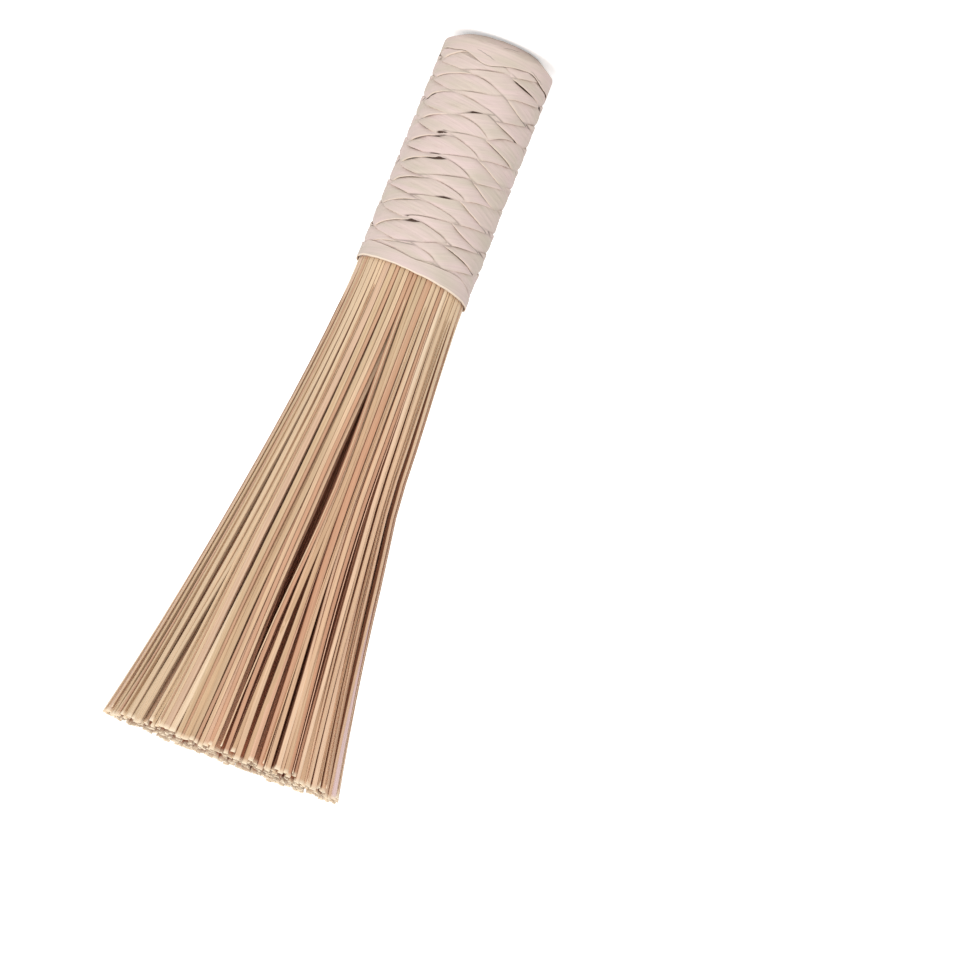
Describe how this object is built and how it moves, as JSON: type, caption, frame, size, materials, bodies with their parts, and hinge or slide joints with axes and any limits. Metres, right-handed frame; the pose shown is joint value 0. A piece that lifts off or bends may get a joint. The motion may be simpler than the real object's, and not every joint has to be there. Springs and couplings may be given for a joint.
{
  "type": "bamboo wok brush",
  "caption": "Round wok brush: a bundle of split bamboo strips bound by a plaited bamboo sleeve, flaring from the short handle to a flat-trimmed scrubbing end.",
  "frame": {"origin": "centre of the sawn butt of the handle, on the plane that the brush stands on", "axes": "+Z along the brush from the butt to the trimmed tips; the handle's rim at the mouth is highest towards -X"},
  "size_m": [0.0794, 0.0794, 0.245],
  "materials": {
    "split_bamboo": "raw split bamboo, satin on the outer skin and dull on the split faces",
    "bamboo_peel": "flat pale peel, dull, slightly waxy"
  },
  "bodies": {
    "root": {"core_strip": "split_bamboo", "outer_strip_01": "split_bamboo", "outer_strip_02": "split_bamboo", "outer_strip_03": "split_bamboo", "outer_strip_04": "split_bamboo", "outer_strip_05": "split_bamboo", "outer_strip_06": "split_bamboo", "outer_strip_07": "split_bamboo", "outer_strip_08": "split_bamboo", "outer_strip_09": "split_bamboo", "outer_strip_10": "split_bamboo", "outer_strip_11": "split_bamboo", "outer_strip_12": "split_bamboo", "outer_strip_13": "split_bamboo", "outer_strip_14": "split_bamboo", "outer_strip_15": "split_bamboo", "outer_strip_16": "split_bamboo", "outer_strip_17": "split_bamboo", "outer_strip_18": "split_bamboo", "outer_strip_19": "split_bamboo", "outer_strip_20": "split_bamboo", "outer_strip_21": "split_bamboo", "outer_strip_22": "split_bamboo", "outer_strip_23": "split_bamboo", "outer_strip_24": "split_bamboo", "outer_strip_25": "split_bamboo", "outer_strip_26": "split_bamboo", "outer_strip_27": "split_bamboo", "outer_strip_28": "split_bamboo", "outer_strip_29": "split_bamboo", "outer_strip_30": "split_bamboo", "outer_strip_31": "split_bamboo", "outer_strip_32": "split_bamboo", "outer_strip_33": "split_bamboo", "outer_strip_34": "split_bamboo", "outer_strip_35": "split_bamboo", "outer_strip_36": "split_bamboo", "outer_strip_37": "split_bamboo", "outer_strip_38": "split_bamboo", "outer_strip_39": "split_bamboo", "outer_strip_40": "split_bamboo", "plaited_wrap": "bamboo_peel", "strips_ring_1": "split_bamboo", "strips_ring_2": "split_bamboo", "strips_ring_3": "split_bamboo", "strips_ring_4": "split_bamboo", "strips_ring_5": "split_bamboo", "strips_ring_6": "split_bamboo", "strips_ring_7": "split_bamboo", "strips_ring_8": "split_bamboo", "strips_ring_9": "split_bamboo"}
  },
  "joints": []
}
